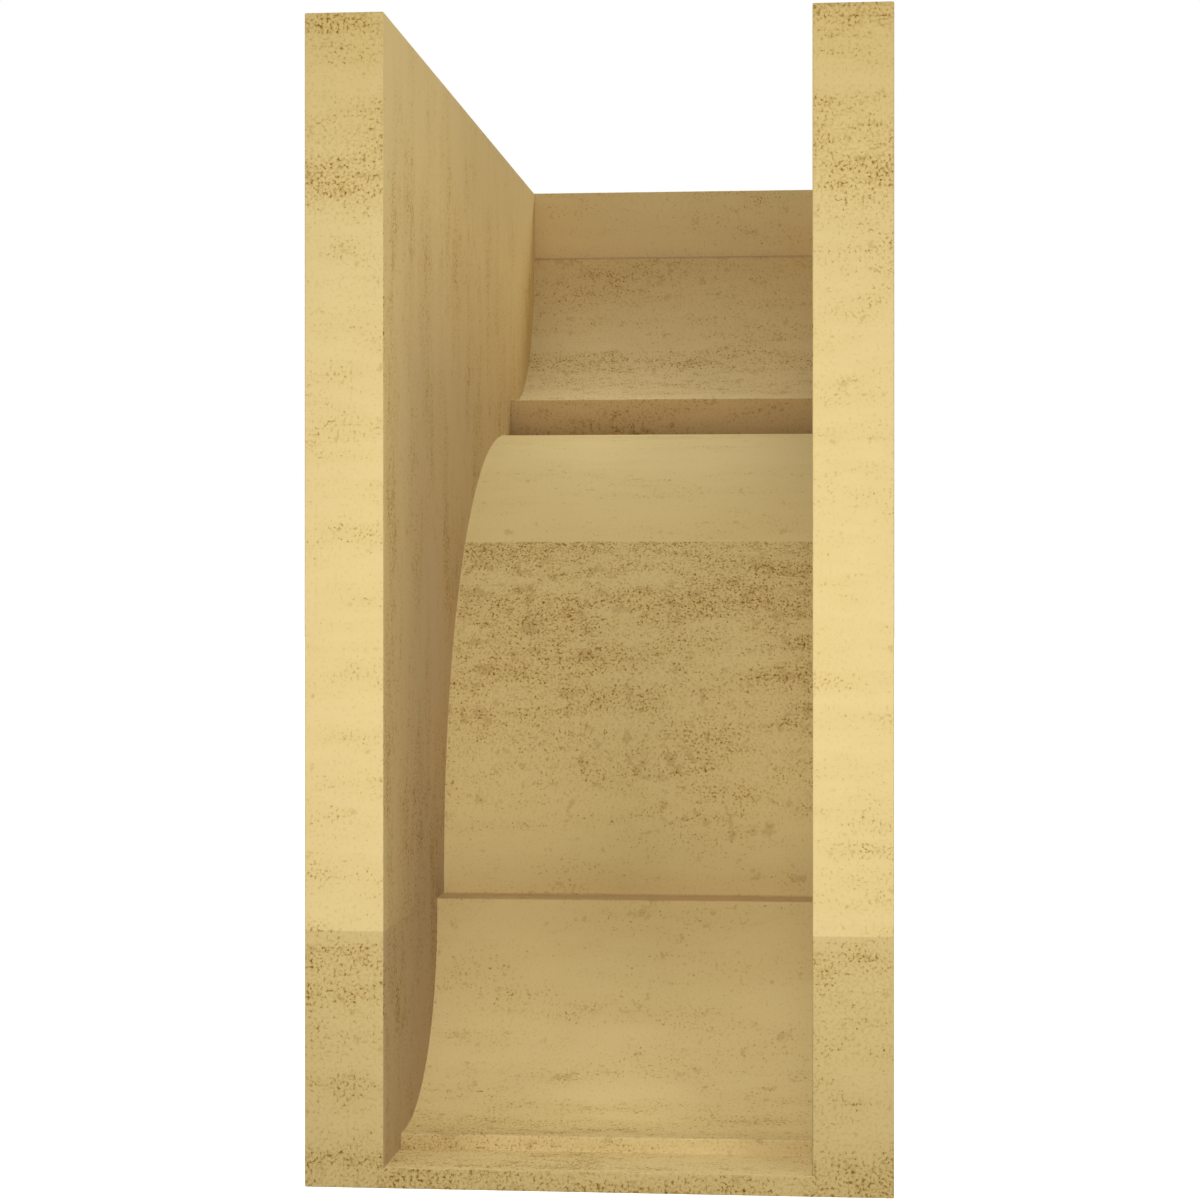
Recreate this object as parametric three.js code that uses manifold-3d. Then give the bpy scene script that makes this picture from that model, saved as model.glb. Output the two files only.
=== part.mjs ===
// A hollow-backed moulded corbel, cast in one piece: two solid side cheeks, and between them a thin
// moulded front that is open at the back and at the top.
// The back stands on the plane y = 0 and the moulding projects towards -Y, with +Z up. The origin is on
// the back edge of the bottom wall, at mid-width and at the middle of that wall's thickness.
import * as THREE from "three";
import { mergeVertices } from "three/addons/utils/BufferGeometryUtils.js";
import Module from "manifold-3d";

// Sizes are in millimetres.
const width = 152.4; // across both cheeks
const cheekThickness = 20.8;
const shellThickness = 5.3; // the moulded front and the bottom wall

// The moulding from the bottom up. The heights add up to 304.8, and so do the parts that step or curve out.
const footProjection = 29.6; // from the wall to the face of the foot
const footHeight = 4;
const lowerOvoloRadius = 57.6;
const lowerOvoloHeight = 56.5; // the ledge cuts the round off just under its widest point
const lowerLedge = 12.1;
const riserHeight = 14.2;
const coveRadius = 129.3;
const coveLedge = 13.5;
const filletHeight = 13.3;
const filletLedge = 1.7;
const upperOvoloRadius = 59.3;
const upperOvoloHeight = 57.3;
const fasciaStep = 1.75;
const fasciaHeight = 30.2;

const arcDivisions = 24; // an arc gets two facets for each division
const overrun = 10; // how far the cutter for the hollow runs out of the back and the top
const samePoint = 1e-6; // outline points closer than this are one point

const primer = new THREE.MeshStandardMaterial({ color: 0xdcc28a, roughness: 0.78, metalness: 0 });

const library = await Module();
library.setup();

// An ovolo starts level at (out, up), bulges forwards and stops at the ledge above it. The wall is how far
// inside the outer face the line lies. Adds the ovolo to the path and gives how far its outer face runs out.
function addOvolo(path, out, up, radius, height, wall) {
  const centreUp = up + radius;
  const lineRadius = radius - wall;
  const ledgeUp = up + height + wall;
  const endSine = Math.min(0, (ledgeUp - centreUp) / lineRadius);
  path.absarc(out, centreUp, lineRadius, -Math.PI / 2, Math.asin(endSine), false);
  path.lineTo(path.currentPoint.x, ledgeUp);
  return Math.sqrt(radius ** 2 - Math.max(0, radius - height) ** 2);
}

// The moulding's line from the foot to the top, as distances out from the wall and up from the bottom. A
// wall of 0 gives the outer face. Any other wall gives the face that lies that far inside it: each upright
// moves back by it, each ledge moves up by it and each arc keeps its centre.
function mouldingLine(wall) {
  const path = new THREE.Path();
  let out = footProjection;
  let up = 0;
  path.moveTo(out - wall, up + wall);
  up += footHeight;
  path.lineTo(out - wall, up + wall);

  out += addOvolo(path, out, up, lowerOvoloRadius, lowerOvoloHeight, wall);
  up += lowerOvoloHeight;
  out += lowerLedge;
  path.lineTo(out - wall, up + wall);

  up += riserHeight;
  out += coveRadius;
  path.absarc(out, up, coveRadius + wall, Math.PI, Math.PI / 2, true);
  up += coveRadius;
  out += coveLedge;
  path.lineTo(out - wall, up + wall);

  up += filletHeight;
  path.lineTo(out - wall, up + wall);
  out += filletLedge;

  out += addOvolo(path, out, up, upperOvoloRadius, upperOvoloHeight, wall);
  up += upperOvoloHeight;
  out += fasciaStep;
  path.lineTo(out - wall, up + wall);
  up += fasciaHeight;
  path.lineTo(out - wall, up);
  return path;
}

// Closes a moulding line at the back and the top, and extrudes it across the width given, centred on x = 0.
function extruded(line, backOut, topUp, acrossWidth) {
  line.lineTo(line.currentPoint.x, topUp);
  line.lineTo(backOut, topUp);
  line.lineTo(backOut, line.getPoint(0).y);
  const outline = [];
  for (const point of line.getPoints(arcDivisions)) {
    const placed = new THREE.Vector2(-point.x, point.y - shellThickness / 2);
    if (!outline.some((other) => other.distanceTo(placed) < samePoint)) outline.push(placed);
  }
  const geometry = new THREE.ExtrudeGeometry(new THREE.Shape(outline), {
    depth: acrossWidth,
    bevelEnabled: false,
  });
  const turn = new THREE.Matrix4().makeBasis(
    new THREE.Vector3(0, 1, 0),
    new THREE.Vector3(0, 0, 1),
    new THREE.Vector3(1, 0, 0),
  );
  return geometry.translate(0, 0, -acrossWidth / 2).applyMatrix4(turn);
}

function solidFrom(geometry) {
  const bare = geometry.clone();
  bare.deleteAttribute("normal");
  bare.deleteAttribute("uv");
  const merged = mergeVertices(bare);
  const mesh = new library.Mesh({
    numProp: 3,
    vertProperties: new Float32Array(merged.attributes.position.array),
    triVerts: new Uint32Array(merged.index.array),
  });
  return new library.Manifold(mesh);
}

function geometryFrom(solid) {
  const mesh = solid.getMesh();
  const geometry = new THREE.BufferGeometry();
  geometry.setAttribute("position", new THREE.BufferAttribute(mesh.vertProperties, 3));
  geometry.setIndex(new THREE.BufferAttribute(mesh.triVerts, 1));
  const faceted = geometry.toNonIndexed();
  faceted.computeVertexNormals();
  return faceted;
}

function makeCorbel() {
  const outerLine = mouldingLine(0);
  const height = outerLine.currentPoint.y;
  const block = solidFrom(extruded(outerLine, 0, height, width));
  const hollowLine = mouldingLine(shellThickness);
  const hollowWidth = width - 2 * cheekThickness;
  const hollow = solidFrom(extruded(hollowLine, -overrun, height + overrun, hollowWidth));
  const corbel = new THREE.Mesh(geometryFrom(block.subtract(hollow)), primer);
  corbel.name = "corbel";
  return corbel;
}

const part = new THREE.Group();
part.name = "moulded_corbel";
part.add(makeCorbel());

export default part;
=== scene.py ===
import math

import bmesh
import bpy
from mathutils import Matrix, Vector


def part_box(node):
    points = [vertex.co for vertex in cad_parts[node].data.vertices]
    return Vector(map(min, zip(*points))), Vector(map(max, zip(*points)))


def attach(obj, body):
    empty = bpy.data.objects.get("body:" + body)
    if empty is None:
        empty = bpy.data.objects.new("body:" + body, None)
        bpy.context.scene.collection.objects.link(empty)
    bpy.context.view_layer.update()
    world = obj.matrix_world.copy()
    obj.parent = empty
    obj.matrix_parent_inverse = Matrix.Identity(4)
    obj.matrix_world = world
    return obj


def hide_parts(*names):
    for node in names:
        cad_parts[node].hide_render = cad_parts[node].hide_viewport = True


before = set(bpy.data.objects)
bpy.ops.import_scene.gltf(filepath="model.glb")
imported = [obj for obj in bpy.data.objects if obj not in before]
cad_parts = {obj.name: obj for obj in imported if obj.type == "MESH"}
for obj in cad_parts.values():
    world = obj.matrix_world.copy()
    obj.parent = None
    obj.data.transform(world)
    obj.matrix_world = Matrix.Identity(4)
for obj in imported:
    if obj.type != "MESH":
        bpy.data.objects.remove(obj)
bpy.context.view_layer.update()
print("frame loaded, nodes:", len(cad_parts))


# corbel, sizes in metres; out is measured from the wall plane, up from the underside
corbel = {
    "cheek": 0.0208,
    "shell": 0.0053,
    "footOut": 0.0296,
    "footHeight": 0.004,
    "lowerRound": 0.0576,
    "lowerRoundHeight": 0.0565,
    "lowerLedge": 0.0121,
    "riser": 0.0142,
    "cove": 0.1293,
    "coveLedge": 0.0135,
    "fillet": 0.0133,
    "filletLedge": 0.0017,
    "upperRound": 0.0593,
    "upperRoundHeight": 0.0573,
    "arcFacet": 0.0013,  # length of one facet along a round
    "arcSteps": 8,  # facets that an arc has at least
    "edgeEase": 0.0004,  # how far the cast edges are rounded off
    "edgeSteps": 3,
    "sharpFrom": math.radians(24),  # edges that turn more than this are eased
}
lowCorner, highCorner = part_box("corbel")
halfWidth = highCorner.x
underside = lowCorner.z
topUp = highCorner.z - underside
projection = -lowCorner.y
hollowHalf = halfWidth - corbel["cheek"]

# how nearly things have to match while the mesh is cut, in metres
near = {"plane": 1e-4, "cut": 1e-7, "merge": 2e-6}
squarely = 0.9  # share of a normal that lies along an axis for the face to look that way


def place(out, up, x=0.0):
    return Vector((x, -out, underside + up))


def lineTo(bm, vert, out, up):
    tip = bmesh.ops.extrude_vert_indiv(bm, verts=[vert])["verts"][0]
    tip.co = place(out, up, vert.co.x)
    return tip


def arcTo(bm, vert, centreOut, centreUp, angle):
    centre = place(centreOut, centreUp, vert.co.x)
    arcLength = (vert.co - centre).length * abs(angle)
    steps = max(corbel["arcSteps"], math.ceil(arcLength / corbel["arcFacet"]))
    made = bmesh.ops.spin(
        bm, geom=[vert], cent=centre, axis=(1, 0, 0), dvec=(0, 0, 0), angle=angle, steps=steps,
        use_merge=False, use_normal_flip=False, use_duplicate=False,
    )
    return [g for g in made["geom_last"] if isinstance(g, bmesh.types.BMVert)][0]


# a convex round that starts level and is cut off by the ledge above it
def roundTo(bm, vert, out, up, radius, height, wall):
    centreUp = up + radius
    ledgeUp = up + height + wall
    endAngle = math.asin(min(0, (ledgeUp - centreUp) / (radius - wall)))
    start = place(out, up + wall, vert.co.x)
    if (start - vert.co).length > corbel["edgeEase"] / 10:
        vert = lineTo(bm, vert, out, up + wall)
    vert = arcTo(bm, vert, out, centreUp, -(math.pi / 2 + endAngle))
    if ledgeUp > centreUp:
        vert = lineTo(bm, vert, -vert.co.y, ledgeUp)
    return vert, math.sqrt(radius**2 - max(0, radius - height) ** 2)


# the moulding from its foot to the top; a wall of 0 is the outer face, otherwise it lies that far inside
def drawMoulding(bm, vert, wall):
    c = corbel
    out, up = c["footOut"], 0
    vert = lineTo(bm, vert, out - wall, up + wall)
    up += c["footHeight"]
    vert = lineTo(bm, vert, out - wall, up + wall)
    vert, run = roundTo(bm, vert, out, up, c["lowerRound"], c["lowerRoundHeight"], wall)
    out, up = out + run + c["lowerLedge"], up + c["lowerRoundHeight"]
    vert = lineTo(bm, vert, out - wall, up + wall)
    up += c["riser"]
    vert = lineTo(bm, vert, out - wall, up)
    out += c["cove"]
    vert = arcTo(bm, vert, out, up, math.pi / 2)
    out, up = out + c["coveLedge"], up + c["cove"]
    vert = lineTo(bm, vert, out - wall, up + wall)
    up += c["fillet"]
    vert = lineTo(bm, vert, out - wall, up + wall)
    out += c["filletLedge"]
    vert, run = roundTo(bm, vert, out, up, c["upperRound"], c["upperRoundHeight"], wall)
    up += c["upperRoundHeight"]
    vert = lineTo(bm, vert, projection - wall, up + wall)
    return lineTo(bm, vert, projection - wall, topUp)


# faces between the cheeks that pass a test of their centre and normal
def middleFaces(bm, test):
    faces = [f for f in bm.faces if abs(f.calc_center_median().x) < hollowHalf - near["plane"]]
    return [f for f in faces if test(f.calc_center_median(), f.normal)]


def isBack(centre, normal):
    return normal.y > squarely and centre.y > -near["plane"]


def isTop(centre, normal):
    return normal.z > squarely and centre.z > highCorner.z - near["plane"]


# cuts some faces alone, and not the rest of the mesh
def cutFaces(bm, faces, point, normal):
    geom = set(faces)
    for f in faces:
        geom.update(f.edges)
        geom.update(f.verts)
    bmesh.ops.bisect_plane(bm, geom=list(geom), dist=near["cut"], plane_co=point, plane_no=normal)


def buildCorbel():
    bm = bmesh.new()
    # solid block of the outer outline
    first = bm.verts.new(place(0, 0, -halfWidth))
    last = drawMoulding(bm, first, 0)
    last = lineTo(bm, last, 0, topUp)
    bm.edges.new((last, first))
    side = bmesh.ops.contextual_create(bm, geom=bm.edges[:])["faces"]
    made = bmesh.ops.extrude_face_region(bm, geom=side)["geom"]
    moved = [g for g in made if isinstance(g, bmesh.types.BMVert)]
    bmesh.ops.translate(bm, verts=moved, vec=(2 * halfWidth, 0, 0))
    bmesh.ops.recalc_face_normals(bm, faces=bm.faces[:])
    # opening for the hollow, in the back and in the top
    for x in (-hollowHalf, hollowHalf):
        everything = bm.verts[:] + bm.edges[:] + bm.faces[:]
        bmesh.ops.bisect_plane(
            bm, geom=everything, dist=near["cut"], plane_co=(x, 0, 0), plane_no=(1, 0, 0),
        )
    shell = corbel["shell"]
    cutFaces(bm, middleFaces(bm, isBack), place(0, shell), (0, 0, 1))
    cutFaces(bm, middleFaces(bm, isTop), place(projection - shell, topUp), (0, 1, 0))
    opened = middleFaces(bm, lambda c, n: isBack(c, n) and c.z > underside + shell)
    opened += middleFaces(bm, lambda c, n: isTop(c, n) and c.y > shell - projection)
    bmesh.ops.delete(bm, geom=opened, context="FACES")
    # inner face of the moulding, one shell thickness behind the outer one
    before = set(bm.edges)
    start = bm.verts.new(place(0, shell, -hollowHalf))
    drawMoulding(bm, start, shell)
    drawn = [e for e in bm.edges if e not in before]
    made = bmesh.ops.extrude_edge_only(bm, edges=drawn)["geom"]
    moved = [g for g in made if isinstance(g, bmesh.types.BMVert)]
    bmesh.ops.translate(bm, verts=moved, vec=(2 * hollowHalf, 0, 0))
    bmesh.ops.remove_doubles(bm, verts=bm.verts[:], dist=near["merge"])
    bmesh.ops.holes_fill(bm, edges=[e for e in bm.edges if e.is_boundary], sides=0)
    bmesh.ops.recalc_face_normals(bm, faces=bm.faces[:])
    # eased edges
    hardEdges = [e for e in bm.edges if e.calc_face_angle(0) > corbel["sharpFrom"]]
    bmesh.ops.bevel(
        bm, geom=hardEdges, offset=corbel["edgeEase"], offset_type="OFFSET", affect="EDGES",
        segments=corbel["edgeSteps"], profile=0.5, material=-1, clamp_overlap=True,
    )
    mesh = bpy.data.meshes.new("corbelCast")
    bm.to_mesh(mesh)
    bm.free()
    piece = bpy.data.objects.new("corbelCast", mesh)
    bpy.context.scene.collection.objects.link(piece)
    return piece


corbelPiece = buildCorbel()
for polygon in corbelPiece.data.polygons:
    polygon.use_smooth = True
normals = corbelPiece.modifiers.new("flatFaces", "WEIGHTED_NORMAL")
normals.keep_sharp = False
normals.weight = 100
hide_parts("corbel")
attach(corbelPiece, "root")
print("corbel modelled:", len(corbelPiece.data.polygons), "faces")


def addNode(tree, kind, **settings):
    node = tree.nodes.new(kind)
    for name, value in settings.items():
        setattr(node, name, value)
    return node


# sets an input to a number or a colour, or links a socket to it
def feed(tree, node, name, value):
    if isinstance(value, bpy.types.NodeSocket):
        tree.links.new(value, node.inputs[name])
    else:
        node.inputs[name].default_value = value


def mathNode(tree, operation, first, second, clamp=False):
    node = addNode(tree, "ShaderNodeMath", operation=operation, use_clamp=clamp)
    feed(tree, node, 0, first)
    feed(tree, node, 1, second)
    return node.outputs[0]


def mapRange(tree, value, fromMin, fromMax, toMin=0.0, toMax=1.0):
    node = addNode(tree, "ShaderNodeMapRange")
    feed(tree, node, "Value", value)
    feed(tree, node, "From Min", fromMin)
    feed(tree, node, "From Max", fromMax)
    feed(tree, node, "To Min", toMin)
    feed(tree, node, "To Max", toMax)
    return node.outputs["Result"]


# a Mix node's colours are its inputs 6 and 7 and its output 2
def mixColour(tree, amount, under, over, blend="MIX"):
    node = addNode(tree, "ShaderNodeMix", data_type="RGBA", blend_type=blend)
    feed(tree, node, 0, amount)
    feed(tree, node, 6, under)
    feed(tree, node, 7, over)
    return node.outputs[2]


def startGroup(name, inputs, outputs):
    group = bpy.data.node_groups.new(name, "ShaderNodeTree")
    for label, value in inputs.items():
        kind = "NodeSocketVector" if value is None else "NodeSocketFloat"
        socket = group.interface.new_socket(label, in_out="INPUT", socket_type=kind)
        if value is not None:
            socket.default_value = value
    for label in outputs:
        group.interface.new_socket(label, in_out="OUTPUT", socket_type="NodeSocketFloat")
    return group, group.nodes.new("NodeGroupInput").outputs, group.nodes.new("NodeGroupOutput")


# the noise that the specks are cut from, and the one that the streaky bands are cut from
speckNoise = {
    "detail": 2.0,
    "roughness": 0.6,
    "rareFrom": 0.68,  # noise value where specks start, with no crowding
    "crowdedFrom": 0.46,  # the same, with full crowding
    "coreStart": 0.5,  # of the softness
    "coreReach": 0.3,  # of the softness, past the halo's end
}
streakNoise = {"detail": 2.0, "roughness": 0.55, "middle": 0.5}


# specks in the primer: a dark core in a softer halo, more of them where they crowd
# the grain and the blotches are its halos at other scales
def makeSpeckGroup():
    inputs = {"Vector": None, "Scale": 900.0, "Crowding": 0.5, "Softness": 0.1}
    group, given, result = startGroup("primerSpecks", inputs, ["Halo", "Core"])
    noise = addNode(group, "ShaderNodeTexNoise")
    feed(group, noise, "Vector", given["Vector"])
    feed(group, noise, "Scale", given["Scale"])
    feed(group, noise, "Detail", speckNoise["detail"])
    feed(group, noise, "Roughness", speckNoise["roughness"])
    rare, crowded = speckNoise["rareFrom"], speckNoise["crowdedFrom"]
    start = mapRange(group, given["Crowding"], 0.0, 1.0, rare, crowded)
    inwards = mathNode(group, "MULTIPLY", given["Softness"], speckNoise["coreStart"])
    coreStart = mathNode(group, "ADD", start, inwards)
    end = mathNode(group, "ADD", start, given["Softness"])
    beyond = mathNode(group, "MULTIPLY", given["Softness"], speckNoise["coreReach"])
    coreEnd = mathNode(group, "ADD", end, beyond)
    group.links.new(mapRange(group, noise.outputs["Fac"], start, end), result.inputs["Halo"])
    group.links.new(mapRange(group, noise.outputs["Fac"], coreStart, coreEnd), result.inputs["Core"])
    return group


# streaky patches that lie along the pattern's own x
def makeStreakGroup():
    inputs = {"Vector": None, "Length": 0.05, "Height": 0.008, "Spread": 0.3}
    group, given, result = startGroup("streakyBands", inputs, ["Mask"])
    across = mathNode(group, "DIVIDE", 1.0, given["Length"])
    up = mathNode(group, "DIVIDE", 1.0, given["Height"])
    stretch = addNode(group, "ShaderNodeCombineXYZ")
    for name, value in (("X", across), ("Y", up), ("Z", up)):
        feed(group, stretch, name, value)
    scaled = addNode(group, "ShaderNodeVectorMath", operation="MULTIPLY")
    feed(group, scaled, 0, given["Vector"])
    feed(group, scaled, 1, stretch.outputs[0])
    noise = addNode(group, "ShaderNodeTexNoise")
    feed(group, noise, "Vector", scaled.outputs[0])
    feed(group, noise, "Scale", 1.0)
    feed(group, noise, "Detail", streakNoise["detail"])
    feed(group, noise, "Roughness", streakNoise["roughness"])
    half = mathNode(group, "DIVIDE", given["Spread"], 2.0)
    low = mathNode(group, "SUBTRACT", streakNoise["middle"], half)
    high = mathNode(group, "ADD", streakNoise["middle"], half)
    group.links.new(mapRange(group, noise.outputs["Fac"], low, high), result.inputs["Mask"])
    return group


speckGroup = makeSpeckGroup()
streakGroup = makeStreakGroup()


def useGroup(tree, group, **values):
    node = addNode(tree, "ShaderNodeGroup", node_tree=group)
    for name, value in values.items():
        feed(tree, node, name, value)
    return node.outputs


# a grey or a colour as red, green, blue and alpha
def shade(value):
    return (*value, 1) if isinstance(value, tuple) else (value, value, value, 1)


# straight blends through a list of (share of the height, value or colour)
# they stay sharp at thin lines, where a colour ramp would blur them
def heightRamp(tree, share, points):
    at, value = points[0]
    colour = shade(value)
    for nextAt, nextValue in points[1:]:
        if nextValue != value:
            colour = mixColour(tree, mapRange(tree, share, at, nextAt), colour, shade(nextValue))
        at, value = nextAt, nextValue
    return colour


# where the inner side of the moulding changes form, as a share of the height
def shareAt(*forms):
    return (corbel["shell"] + sum(corbel[form] for form in forms)) / topUp


floorAt = shareAt()
footAt = shareAt("footHeight")
ledgeAt = shareAt("footHeight", "lowerRoundHeight")
filletAt = shareAt("footHeight", "lowerRoundHeight", "riser", "cove")
upperRoundAt = filletAt + corbel["fillet"] / topUp
fasciaAt = upperRoundAt + corbel["upperRoundHeight"] / topUp
coveSpecksAt = 0.559  # the dense specks of the cove end sharply here
roundSpecksAt = 0.801  # and those of the upper round here
paintedShadowLineAt = 0.2185  # painted shadow: the back edges and the cheeks' inner sides are painted a shade darker below this level line

# how wide the sharp changes are, and how far one lies off a form's edge, as shares of the height
changes = {
    "stepHalf": 0.0006,
    "lineHalf": 0.0013,
    "lineFade": 0.0005,
    "offEdge": 0.001,
    "underLedge": 0.0007,  # the painted shade line of the small ledge, from here under its edge
    "overLedge": 0.0012,  # to here over it
}


# one value gives way to the next
def step(at, before, after):
    return [(at - changes["stepHalf"], before), (at + changes["stepHalf"], after)]


# a thin line between two values
def thinLine(at, before, value, after):
    inner = changes["lineHalf"]
    outer = inner + changes["lineFade"]
    return [(at - outer, before), (at - inner, value), (at + inner, value), (at + outer, after)]


# primer paint that all faces share
primer = {
    "tan": (0.765, 0.588, 0.262),
    "wash": (0.70, 0.52, 0.19, 1),  # thin olive film where the specks crowd
    "washStrength": 0.25,
    "crowdingGain": 1.4,  # how strongly the height decides on the crowding
    "crowdingFrom": 0.4,  # crowding by height from which specks are more than rare
    "bandSpread": 0.34,  # how soft the edges of the long bands are
    "rowLength": 0.009,  # short rows of specks inside the long bands, metres
    "rowHeight": 0.0035,
    "rowSpread": 0.4,
    "rowStrength": 0.45,
    "halo": (0.43, 0.2, 0.006, 1),
    "haloStrength": 0.8,
    "core": (0.17, 0.057, 0.003, 1),
    "coreStrength": 0.9,
    "speckSoftness": 0.2,
    "grain": (0.42, 0.28, 0.035, 1),  # faint small specks between the dark ones
    "grainStrength": 0.33,
    "grainSoftness": 0.3,
    "grainScale": 0.85,  # of the dark specks' scale
    "grainFrom": 0.12,  # crowding below which there is no grain
    "blotchStrength": 0.4,
    "blotchSoftness": 0.08,
    "blotchScale": 260.0,
    "roughness": 0.76,
    "speckRoughness": 0.88,
    "sheen": 0.25,
    "pitStrength": 0.5,
    "pitDepth": 0.00003,
}
oliveBlotch = (0.52, 0.38, 0.11, 1)
redBlotch = (0.55, 0.35, 0.14, 1)

# how each group of faces is painted; crowding and the tone with its painted light and shade go by share
# of the height, bands by metres
# a speck scale of 1000 gives specks about a millimetre apart
backFinish = {
    "tint": 1.10,
    "speckScale": 1150.0,
    "patchy": 0.75,  # how much the long bands change the crowding
    "veil": 0.10,  # strength of the olive film in the bands
    "blotch": oliveBlotch,
    "blotchy": 0.5,  # how crowded the blotches are beside the specks
    "crowding": [
        (0.0, 0.93), (0.04, 0.7), (0.10, 0.6), (0.20, 0.85), (0.21, 0.58), (0.33, 0.48),
        (0.60, 0.48), (0.81, 0.54), (0.87, 0.92), (0.93, 0.6), (0.96, 0.6), (0.98, 0.8),
    ],
    # painted shade: darker towards the bottom, with a painted shadow edge at the line; slightly yellower
    # at the top
    "toneAndPaintedShade": [
        (0.0, (0.8, 0.78, 0.73)), *step(paintedShadowLineAt, (0.86, 0.84, 0.8), 1.0), (0.8, 1.0),
        (1.0, (1.0, 0.97, 0.87)),
    ],
    "bandLength": 0.03,
    "bandHeight": 0.009,
    "upright": False,
}
mouldingFinish = {
    "tint": 1.10,
    "speckScale": 1400.0,
    "patchy": 0.5,
    "veil": 0.10,
    "blotch": redBlotch,
    "blotchy": 0.65,
    "crowding": [
        (0.0, 0.8), (0.03, 0.68), (0.05, 0.53), (0.20, 0.45), (0.30, 0.55), (0.34, 0.74), (0.45, 0.79),
        *step(coveSpecksAt, 0.94, 0.39), *step(filletAt + changes["offEdge"], 0.38, 0.67),
        (upperRoundAt, 0.63), *step(roundSpecksAt, 0.68, 0.52), (0.83, 0.57), (0.86, 0.69),
        *step(fasciaAt, 0.65, 0.44),
    ],
    # a shade for each form: floor, foot, lower round, ledge and riser, cove, fillet, upper round,
    # fascia; partly the primer's own tone and partly painted light and shade that stand in for the
    # studio light: a lighter floor, a darker fillet, and painted shade on the small ledge and in the
    # crease under the fascia
    "toneAndPaintedShade": [
        *step(floorAt, (1.1, 1.18, 1.28), (0.92, 0.95, 1.03)),
        *step(footAt, (0.92, 0.95, 1.03), (1.03, 1.08, 1.16)),
        (0.10, (1.03, 1.07, 1.14)), (0.20, (0.9, 0.91, 0.94)),
        # painted shade on the small ledge's recessed top
        *step(ledgeAt - changes["underLedge"], (0.9, 0.91, 0.94), (0.74, 0.7, 0.8)),
        *step(ledgeAt + changes["overLedge"], (0.74, 0.7, 0.8), (0.94, 0.96, 0.98)),
        (0.30, (1.02, 1.06, 1.09)), (0.5, (1.03, 1.09, 1.18)),
        *step(filletAt + changes["offEdge"], (0.91, 0.98, 1.04), (0.67, 0.65, 0.89)),
        *step(upperRoundAt - changes["offEdge"], (0.88, 0.87, 1.05), (0.95, 1.02, 1.22)),
        # painted shade: a dark line in the crease under the fascia
        *thinLine(fasciaAt, (0.94, 0.94, 1.09), (0.74, 0.68, 0.8), (0.98, 0.98, 1.15)),
        (1.0, (1.08, 1.09, 1.2)),
    ],
    "bandLength": 0.05,
    "bandHeight": 0.010,
    "upright": False,
}
hollowSideFinish = {
    "tint": 1.0,
    "speckScale": 1250.0,
    "patchy": 0.75,
    "veil": 0.2,
    "blotch": oliveBlotch,
    "blotchy": 0.5,
    "crowding": [(0.0, 0.62), (0.2, 0.72), (0.35, 0.62), (0.85, 0.62), (1.0, 0.35)],
    # painted shade: the cheeks' inner sides are darker towards the bottom, with the painted shadow edge,
    # and darker again deeper in the hollow
    "toneAndPaintedShade": [
        (0.0, (0.7, 0.68, 0.78)), *step(paintedShadowLineAt, (0.73, 0.71, 0.82), (0.86, 0.85, 0.93)),
        (1.0, (1.0, 1.0, 0.98)),
    ],
    "deepPaintedShade": [
        (0.0, (0.6, 0.58, 0.78)), (0.22, (0.6, 0.58, 0.76)), (0.35, (0.72, 0.7, 0.88)),
        (0.7, (0.76, 0.75, 0.84)), (0.88, 1.0),
    ],
    "deepShadeFrom": 0.055,  # how far in from the back plane the deepest painted shade is reached, metres
    "bandLength": 0.06,
    "bandHeight": 0.018,
    "upright": True,
}
sideFinish = {
    "tint": 1.04,
    "speckScale": 1250.0,
    "patchy": 0.6,
    "veil": 0.15,
    "blotch": oliveBlotch,
    "blotchy": 0.5,
    "crowding": [(0.0, 0.5), (0.2, 0.6), (0.35, 0.5), (0.6, 0.5), (0.85, 0.6), (1.0, 0.5)],
    "bandLength": 0.06,
    "bandHeight": 0.018,
    "upright": True,
}
frontFinish = {
    "tint": 1.04,
    "speckScale": 1250.0,
    "patchy": 0.6,
    "veil": 0.10,
    "blotch": oliveBlotch,
    "blotchy": 0.5,
    "crowding": [(0.0, 0.5), (0.3, 0.45), (0.5, 0.55), (0.7, 0.45), (1.0, 0.55)],
    "bandLength": 0.05,
    "bandHeight": 0.009,
    "upright": False,
}


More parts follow.
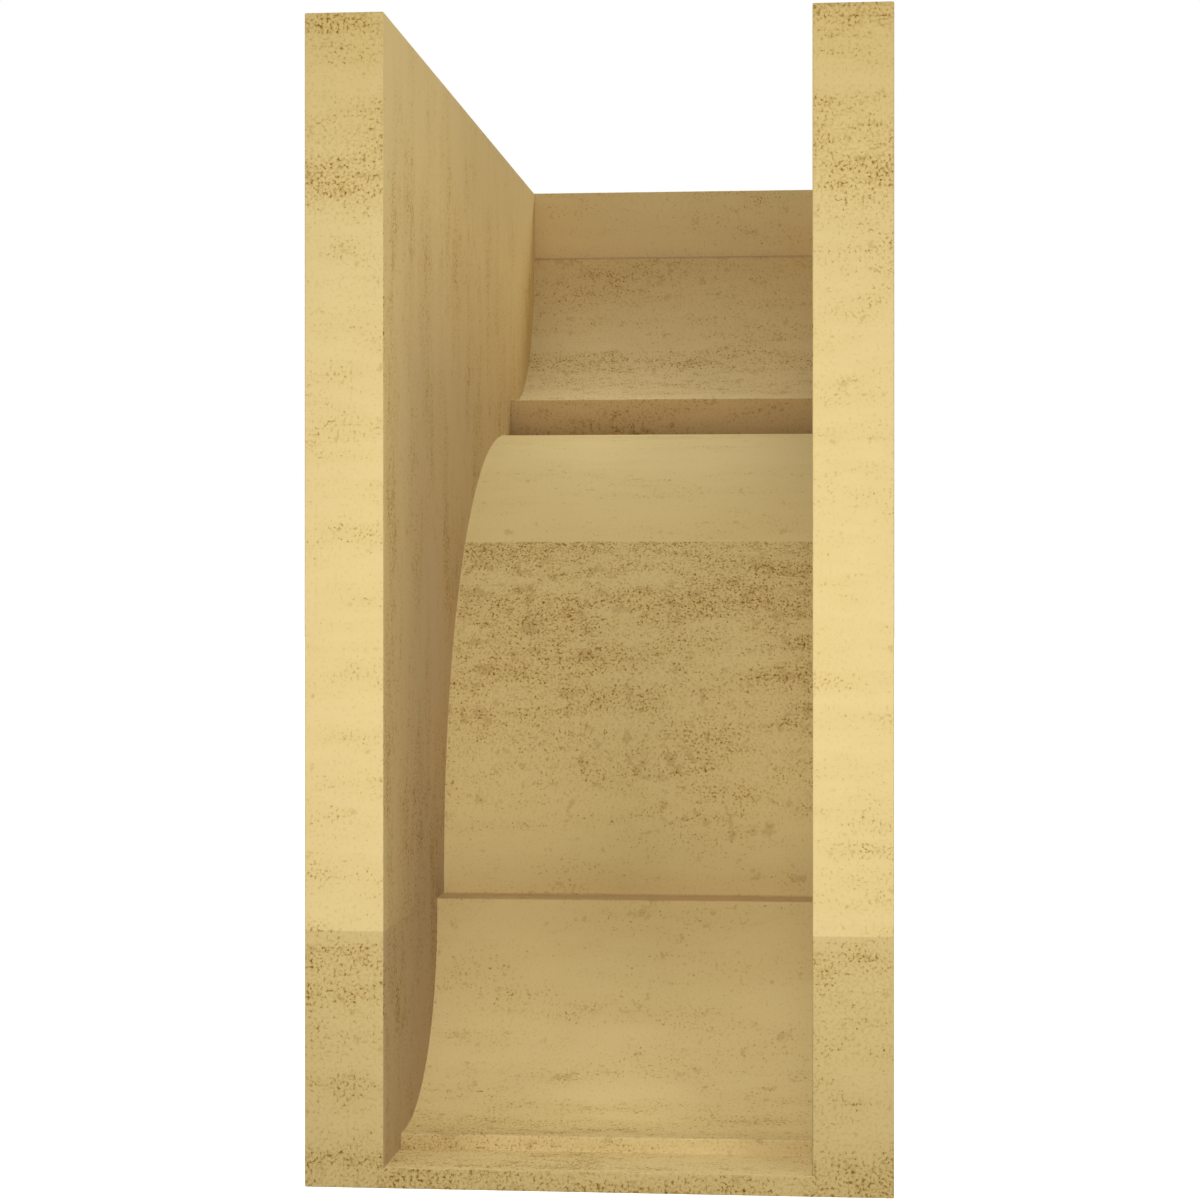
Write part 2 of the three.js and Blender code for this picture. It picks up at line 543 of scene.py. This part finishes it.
def makePrimer(name, finish):
    material = bpy.data.materials.new(name)
    material.use_nodes = True
    tree = material.node_tree
    shader = tree.nodes["Principled BSDF"]
    feed(tree, shader, "Specular IOR Level", primer["sheen"])
    position = addNode(tree, "ShaderNodeTexCoord").outputs["Object"]
    pattern = position
    if finish["upright"]:
        turn = addNode(tree, "ShaderNodeMapping")
        feed(tree, turn, "Vector", position)
        feed(tree, turn, "Rotation", (0, math.pi / 2, 0))
        pattern = turn.outputs["Vector"]
    axes = addNode(tree, "ShaderNodeSeparateXYZ")
    feed(tree, axes, "Vector", position)
    share = mapRange(tree, axes.outputs["Z"], underside, highCorner.z)
    # how crowded the specks are: by height, then in long bands and in short rows inside them
    crowding = heightRamp(tree, share, finish["crowding"])
    byHeight = mathNode(tree, "MULTIPLY", crowding, primer["crowdingGain"])
    bands = useGroup(
        tree, streakGroup, Vector=pattern, Length=finish["bandLength"], Height=finish["bandHeight"],
        Spread=primer["bandSpread"],
    )["Mask"]
    rows = useGroup(
        tree, streakGroup, Vector=pattern, Length=primer["rowLength"], Height=primer["rowHeight"],
        Spread=primer["rowSpread"],
    )["Mask"]
    patches = mathNode(tree, "MULTIPLY", bands, finish["patchy"])
    patches = mathNode(tree, "ADD", patches, mathNode(tree, "MULTIPLY", rows, primer["rowStrength"]))
    bare = primer["crowdingFrom"] + (primer["rowStrength"] + finish["patchy"]) / 2
    crowded = mathNode(tree, "SUBTRACT", mathNode(tree, "ADD", byHeight, patches), bare, clamp=True)
    specks = useGroup(
        tree, speckGroup, Vector=pattern, Scale=finish["speckScale"], Crowding=crowded,
        Softness=primer["speckSoftness"],
    )
    grained = mathNode(tree, "SUBTRACT", byHeight, primer["grainFrom"], clamp=True)
    grain = useGroup(
        tree, speckGroup, Vector=pattern, Scale=finish["speckScale"] * primer["grainScale"],
        Crowding=grained, Softness=primer["grainSoftness"],
    )
    fewer = mathNode(tree, "MULTIPLY", crowded, finish["blotchy"])
    blotches = useGroup(
        tree, speckGroup, Vector=pattern, Scale=primer["blotchScale"], Crowding=fewer,
        Softness=primer["blotchSoftness"],
    )
    # colour
    tan = [c * finish["tint"] for c in primer["tan"]] + [1]
    film = mathNode(tree, "MULTIPLY", crowded, primer["washStrength"])
    film = mathNode(tree, "ADD", film, mathNode(tree, "MULTIPLY", bands, finish["veil"]), clamp=True)
    colour = mixColour(tree, film, tan, primer["wash"])
    layers = (
        (blotches["Halo"], "blotchStrength", finish["blotch"]),
        (grain["Halo"], "grainStrength", primer["grain"]),
        (specks["Halo"], "haloStrength", primer["halo"]),
        (specks["Core"], "coreStrength", primer["core"]),
    )
    for mask, strength, paint in layers:
        colour = mixColour(tree, mathNode(tree, "MULTIPLY", mask, primer[strength]), colour, paint)
    # painted light and shade, multiplied over the primer by height, and on the hollow's sides also by
    # depth
    if "toneAndPaintedShade" in finish:
        toneAndPaintedShade = heightRamp(tree, share, finish["toneAndPaintedShade"])
        if "deepPaintedShade" in finish:
            deepShadeAmount = mapRange(tree, axes.outputs["Y"], 0.0, -finish["deepShadeFrom"])
            toneAndPaintedShade = mixColour(tree, deepShadeAmount, toneAndPaintedShade, heightRamp(tree, share, finish["deepPaintedShade"]))
        colour = mixColour(tree, 1.0, colour, toneAndPaintedShade, blend="MULTIPLY")
    feed(tree, shader, "Base Color", colour)
    # specks are rougher than the primer, and are shallow pits in it
    smooth, rough = primer["roughness"], primer["speckRoughness"]
    feed(tree, shader, "Roughness", mapRange(tree, specks["Halo"], 0.0, 1.0, smooth, rough))
    pits = addNode(tree, "ShaderNodeBump", invert=True)
    feed(tree, pits, "Strength", primer["pitStrength"])
    feed(tree, pits, "Distance", primer["pitDepth"])
    feed(tree, pits, "Height", specks["Halo"])
    feed(tree, shader, "Normal", pits.outputs["Normal"])
    return material


# faces are sorted by the way they look: back, inside of the moulding, cheek sides, and the rest
finishes = {
    "backPrimer": backFinish,
    "mouldingPrimer": mouldingFinish,
    "hollowSidePrimer": hollowSideFinish,
    "sidePrimer": sideFinish,
    "frontPrimer": frontFinish,
}
sorting = {
    "rim": 0.0006,  # eased edges lie this near to the plane of their face
    "mostly": 0.7,  # share of a normal along an axis from which a face counts as looking that way
}
for name, finish in finishes.items():
    corbelPiece.data.materials.append(makePrimer(name, finish))


def finishOf(normal, centre):
    inside = abs(centre.x) < hollowHalf + sorting["rim"]
    if abs(normal.x) > sorting["mostly"]:
        return "hollowSidePrimer" if inside else "sidePrimer"
    if normal.y > sorting["mostly"] and centre.y > -sorting["rim"]:
        return "backPrimer"
    if normal.y + normal.z > 0 and inside and centre.z < highCorner.z - sorting["rim"]:
        return "mouldingPrimer"
    return "frontPrimer"


finishNames = list(finishes)
for polygon in corbelPiece.data.polygons:
    polygon.material_index = finishNames.index(finishOf(polygon.normal, polygon.center))
print("primer finished:", len(corbelPiece.data.materials), "materials")


# floor of plain white paper
paper = {
    "drop": 0.3,  # how far it lies below the corbel
    "size": 60.0,
    "colour": (0.9, 0.9, 0.9, 1),
    "roughness": 0.9,
    "sheen": 0.1,
    "glow": 1.0,  # seen by the camera alone, so that the paper stays white
}
bm = bmesh.new()
bmesh.ops.create_grid(bm, x_segments=1, y_segments=1, size=paper["size"] / 2)
bmesh.ops.translate(bm, verts=bm.verts[:], vec=(0, 0, underside - paper["drop"]))
floorMesh = bpy.data.meshes.new("floor")
bm.to_mesh(floorMesh)
bm.free()
floor = bpy.data.objects.new("floor", floorMesh)
bpy.context.scene.collection.objects.link(floor)
paperMaterial = bpy.data.materials.new("paper")
paperMaterial.use_nodes = True
tree = paperMaterial.node_tree
shader = tree.nodes["Principled BSDF"]
feed(tree, shader, "Base Color", paper["colour"])
feed(tree, shader, "Roughness", paper["roughness"])
feed(tree, shader, "Specular IOR Level", paper["sheen"])
feed(tree, shader, "Emission Color", (1, 1, 1, 1))
seen = addNode(tree, "ShaderNodeLightPath").outputs["Is Camera Ray"]
feed(tree, shader, "Emission Strength", mathNode(tree, "MULTIPLY", seen, paper["glow"]))
floor.data.materials.append(paperMaterial)


# soft boxes: where each one hangs, what it points at, its size and its power
studio = {
    "ambient": 0.305,
    "backdrop": 1.0,  # what the camera sees behind the corbel
    "boxes": {
        "nearFill": ((-0.01, 0.22, 0.15), (0.0, 0.0, 0.14), 0.15, 0.22),
        "rightFill": ((-0.32, 0.32, 0.16), (0.03, 0.0, 0.15), 0.15, 0.45),
        "leftFill": ((0.32, 0.32, 0.16), (-0.03, 0.0, 0.15), 0.15, 0.37),
        "overhead": ((0.0, -0.15, 1.3), (0.0, -0.1, 0.15), 0.8, 2.8),
        "overFront": ((0.0, -0.9, 1.2), (0.0, -0.1, 0.15), 0.8, 4.5),
        "overFrontSide": ((-0.8, -0.7, 1.2), (0.0, -0.1, 0.15), 0.6, 5.9),
    },
}
for name, (spot, aim, size, power) in studio["boxes"].items():
    lamp = bpy.data.lights.new(name, "AREA")
    lamp.energy = power
    lamp.shape = "SQUARE"
    lamp.size = size
    box = bpy.data.objects.new(name, lamp)
    box.location = spot
    box.rotation_euler = (Vector(aim) - Vector(spot)).to_track_quat("-Z", "Y").to_euler()
    box.visible_camera = False
    bpy.context.scene.collection.objects.link(box)

world = bpy.data.worlds.new("studio")
world.use_nodes = True
tree = world.node_tree
seen = addNode(tree, "ShaderNodeLightPath").outputs["Is Camera Ray"]
sky = tree.nodes["Background"]
feed(tree, sky, "Color", (1, 1, 1, 1))
feed(tree, sky, "Strength", mapRange(tree, seen, 0.0, 1.0, studio["ambient"], studio["backdrop"]))
bpy.context.scene.world = world
bpy.context.scene.view_settings.view_transform = "Standard"
print("studio lit")


# camera, behind the corbel at mid-height, in metres, with lens and sensor in millimetres
view = {
    "standX": -0.0703,
    "standY": 0.6576,
    "height": (highCorner.z + lowCorner.z) / 2,
    "turn": math.radians(185.0),
    "lens": 77.19,
    "sensor": 36.0,
    "shift": -0.0383,
}
cameraData = bpy.data.cameras.new("camera")
cameraData.lens = view["lens"]
cameraData.sensor_width = view["sensor"]
cameraData.shift_x = view["shift"]
camera = bpy.data.objects.new("camera", cameraData)
camera.location = (view["standX"], view["standY"], view["height"])
camera.rotation_euler = (math.pi / 2, 0, view["turn"])
bpy.context.scene.collection.objects.link(camera)
bpy.context.scene.camera = camera
print("camera set")
